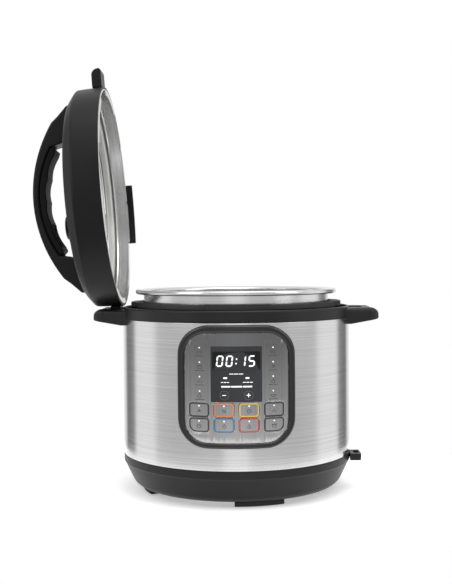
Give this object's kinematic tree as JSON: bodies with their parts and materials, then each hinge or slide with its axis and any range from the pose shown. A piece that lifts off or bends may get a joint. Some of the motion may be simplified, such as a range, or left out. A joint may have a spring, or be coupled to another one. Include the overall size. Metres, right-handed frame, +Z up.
{
  "type": "electric pressure cooker",
  "caption": "Electric pressure cooker: steel body on a black base, curved control panel, lift-out pot, and a domed lid parked upright in the left side handle.",
  "frame": {"origin": "on the cooker's vertical axis, at the height of the surface that the feet stand on", "axes": "+Z up, -Y out of the control panel, +X to the cooker's right as the panel is faced; the parked lid is at -X"},
  "size_m": [0.4108, 0.3005, 0.5017],
  "materials": {
    "accessory_socket": "fine grain",
    "anti_block_shield": "satin",
    "bayonet_ring": "textured coating",
    "board_posts": "nylon",
    "bottom_base": "fine grain",
    "bottom_cover": "zinc",
    "collector_rails": "fine grain",
    "condensation_collector": "fine grain",
    "cover_screws": "zinc",
    "display_module": "matte",
    "display_window": "smoked",
    "drip_tab": "fine grain",
    "feet": "matte",
    "float_seal": "silicone",
    "float_valve": "satin",
    "handle_screws": "zinc",
    "heating_element": "satin",
    "heating_plate": "cast",
    "inner_pot": "satin",
    "key_cook": "brushed film",
    "key_less": "brushed film",
    "key_light": "brushed film",
    "key_more": "brushed film",
    "key_stop_left": "brushed film",
    "key_stop_right": "brushed film",
    "key_switches": "matte",
    "key_timer": "brushed film",
    "key_warm": "brushed film",
    "left_handle": "fine grain",
    "lid_cover": "fine grain",
    "lid_fins": "fine grain",
    "lid_grip": "fine grain",
    "lid_handle": "fine grain",
    "lid_posts": "satin",
    "lock_bracket": "satin",
    "lock_spring": "satin",
    "locking_pin": "fine grain",
    "mains_inlet": "fine grain",
    "outer_pot": "coated",
    "outer_shell": "brushed",
    "panel_board": "circuit board",
    "panel_face": "brushed film",
    "panel_frame": "fine grain",
    "plate_feet": "satin",
    "power_board": "circuit board",
    "pressure_switch": "matte",
    "right_handle": "fine grain",
    "sealing_ring": "silicone",
    "sealing_ring_rack": "polished",
    "sensor_button": "satin",
    "sensor_holder": "satin",
    "sensor_spring": "satin",
    "skirt_rivets": "satin",
    "steam_pipe": "satin",
    "steam_release": "fine grain",
    "steel_lid": "satin",
    "thermal_fuse": "matte",
    "top_ring": "fine grain"
  },
  "bodies": {
    "cooker": {"accessory_socket": "accessory_socket", "bayonet_ring": "bayonet_ring", "board_posts": "board_posts", "bottom_base": "bottom_base", "bottom_cover": "bottom_cover", "collector_rails": "collector_rails", "cover_screws": "cover_screws", "display_module": "display_module", "display_window": "display_window", "feet": "feet", "heating_element": "heating_element", "heating_plate": "heating_plate", "key_switches": "key_switches", "left_handle": "left_handle", "mains_inlet": "mains_inlet", "outer_pot": "outer_pot", "outer_shell": "outer_shell", "panel_board": "panel_board", "panel_face": "panel_face", "panel_frame": "panel_frame", "plate_feet": "plate_feet", "power_board": "power_board", "pressure_switch": "pressure_switch", "right_handle": "right_handle", "sensor_holder": "sensor_holder", "sensor_spring": "sensor_spring", "thermal_fuse": "thermal_fuse", "top_ring": "top_ring"},
    "lid": {"lid_cover": "lid_cover", "lid_fins": "lid_fins", "drip_tab": "drip_tab", "lid_handle": "lid_handle", "lid_grip": "lid_grip", "handle_screws": "handle_screws", "steel_lid": "steel_lid", "skirt_rivets": "skirt_rivets", "sealing_ring": "sealing_ring", "sealing_ring_rack": "sealing_ring_rack", "lid_posts": "lid_posts", "steam_pipe": "steam_pipe", "lock_bracket": "lock_bracket", "lock_spring": "lock_spring"},
    "pot": {"inner_pot": "inner_pot"},
    "steam_release": {"steam_release": "steam_release"},
    "float": {"float_valve": "float_valve", "float_seal": "float_seal"},
    "shield": {"anti_block_shield": "anti_block_shield"},
    "locking_pin": {"locking_pin": "locking_pin"},
    "collector": {"condensation_collector": "condensation_collector"},
    "sensor": {"sensor_button": "sensor_button"},
    "key_less": {"key_less": "key_less"},
    "key_stop_left": {"key_stop_left": "key_stop_left"},
    "key_stop_right": {"key_stop_right": "key_stop_right"},
    "key_more": {"key_more": "key_more"},
    "key_light": {"key_light": "key_light"},
    "key_warm": {"key_warm": "key_warm"},
    "key_cook": {"key_cook": "key_cook"},
    "key_timer": {"key_timer": "key_timer"}
  },
  "joints": [
    {"name": "lid_lift", "type": "slide", "parent": "cooker", "child": "lid", "axis": [-0.0715, 0, 0.9974], "range_m": [0, 0.06]},
    {"name": "pot_lift", "type": "slide", "parent": "cooker", "child": "pot", "axis": [0, 0, 1], "range_m": [0, 0.2]},
    {"name": "steam_release_turn", "type": "hinge", "parent": "lid", "child": "steam_release", "pos_m": [-0.20127, 0.06, 0.31588], "axis": [-0.9974, 0, -0.0715], "range_deg": [0, 60]},
    {"name": "float_rise", "type": "slide", "parent": "lid", "child": "float", "axis": [-0.9974, 0, -0.0715], "range_m": [0, 0.006]},
    {"name": "shield_pull", "type": "slide", "parent": "lid", "child": "shield", "axis": [0.9974, 0, 0.0715], "range_m": [0, 0.03]},
    {"name": "lock_slide", "type": "slide", "parent": "lid", "child": "locking_pin", "axis": [-0.0715, 0, 0.9974], "range_m": [0, 0.004], "stiffness_N_per_m": 100, "deforming": ["lock_spring"]},
    {"name": "collector_pull", "type": "slide", "parent": "cooker", "child": "collector", "axis": [0, 1, 0], "range_m": [0, 0.06]},
    {"name": "sensor_press", "type": "slide", "parent": "cooker", "child": "sensor", "axis": [0, 0, 1], "range_m": [-0.003, 0], "stiffness_N_per_m": 600, "deforming": ["sensor_spring"]},
    {"name": "key_less_press", "type": "slide", "parent": "cooker", "child": "key_less", "axis": [0.2834, 0.959, 0], "range_m": [0, 0.0005], "stiffness_N_per_m": 1500},
    {"name": "key_stop_left_press", "type": "slide", "parent": "cooker", "child": "key_stop_left", "axis": [0.0945, 0.9955, 0], "range_m": [0, 0.0005], "stiffness_N_per_m": 1500},
    {"name": "key_stop_right_press", "type": "slide", "parent": "cooker", "child": "key_stop_right", "axis": [-0.0945, 0.9955, 0], "range_m": [0, 0.0005], "stiffness_N_per_m": 1500},
    {"name": "key_more_press", "type": "slide", "parent": "cooker", "child": "key_more", "axis": [-0.2834, 0.959, 0], "range_m": [0, 0.0005], "stiffness_N_per_m": 1500},
    {"name": "key_light_press", "type": "slide", "parent": "cooker", "child": "key_light", "axis": [0.2834, 0.959, 0], "range_m": [0, 0.0005], "stiffness_N_per_m": 1500},
    {"name": "key_warm_press", "type": "slide", "parent": "cooker", "child": "key_warm", "axis": [0.0945, 0.9955, 0], "range_m": [0, 0.0005], "stiffness_N_per_m": 1500},
    {"name": "key_cook_press", "type": "slide", "parent": "cooker", "child": "key_cook", "axis": [-0.0945, 0.9955, 0], "range_m": [0, 0.0005], "stiffness_N_per_m": 1500},
    {"name": "key_timer_press", "type": "slide", "parent": "cooker", "child": "key_timer", "axis": [-0.2834, 0.959, 0], "range_m": [0, 0.0005], "stiffness_N_per_m": 1500}
  ]
}
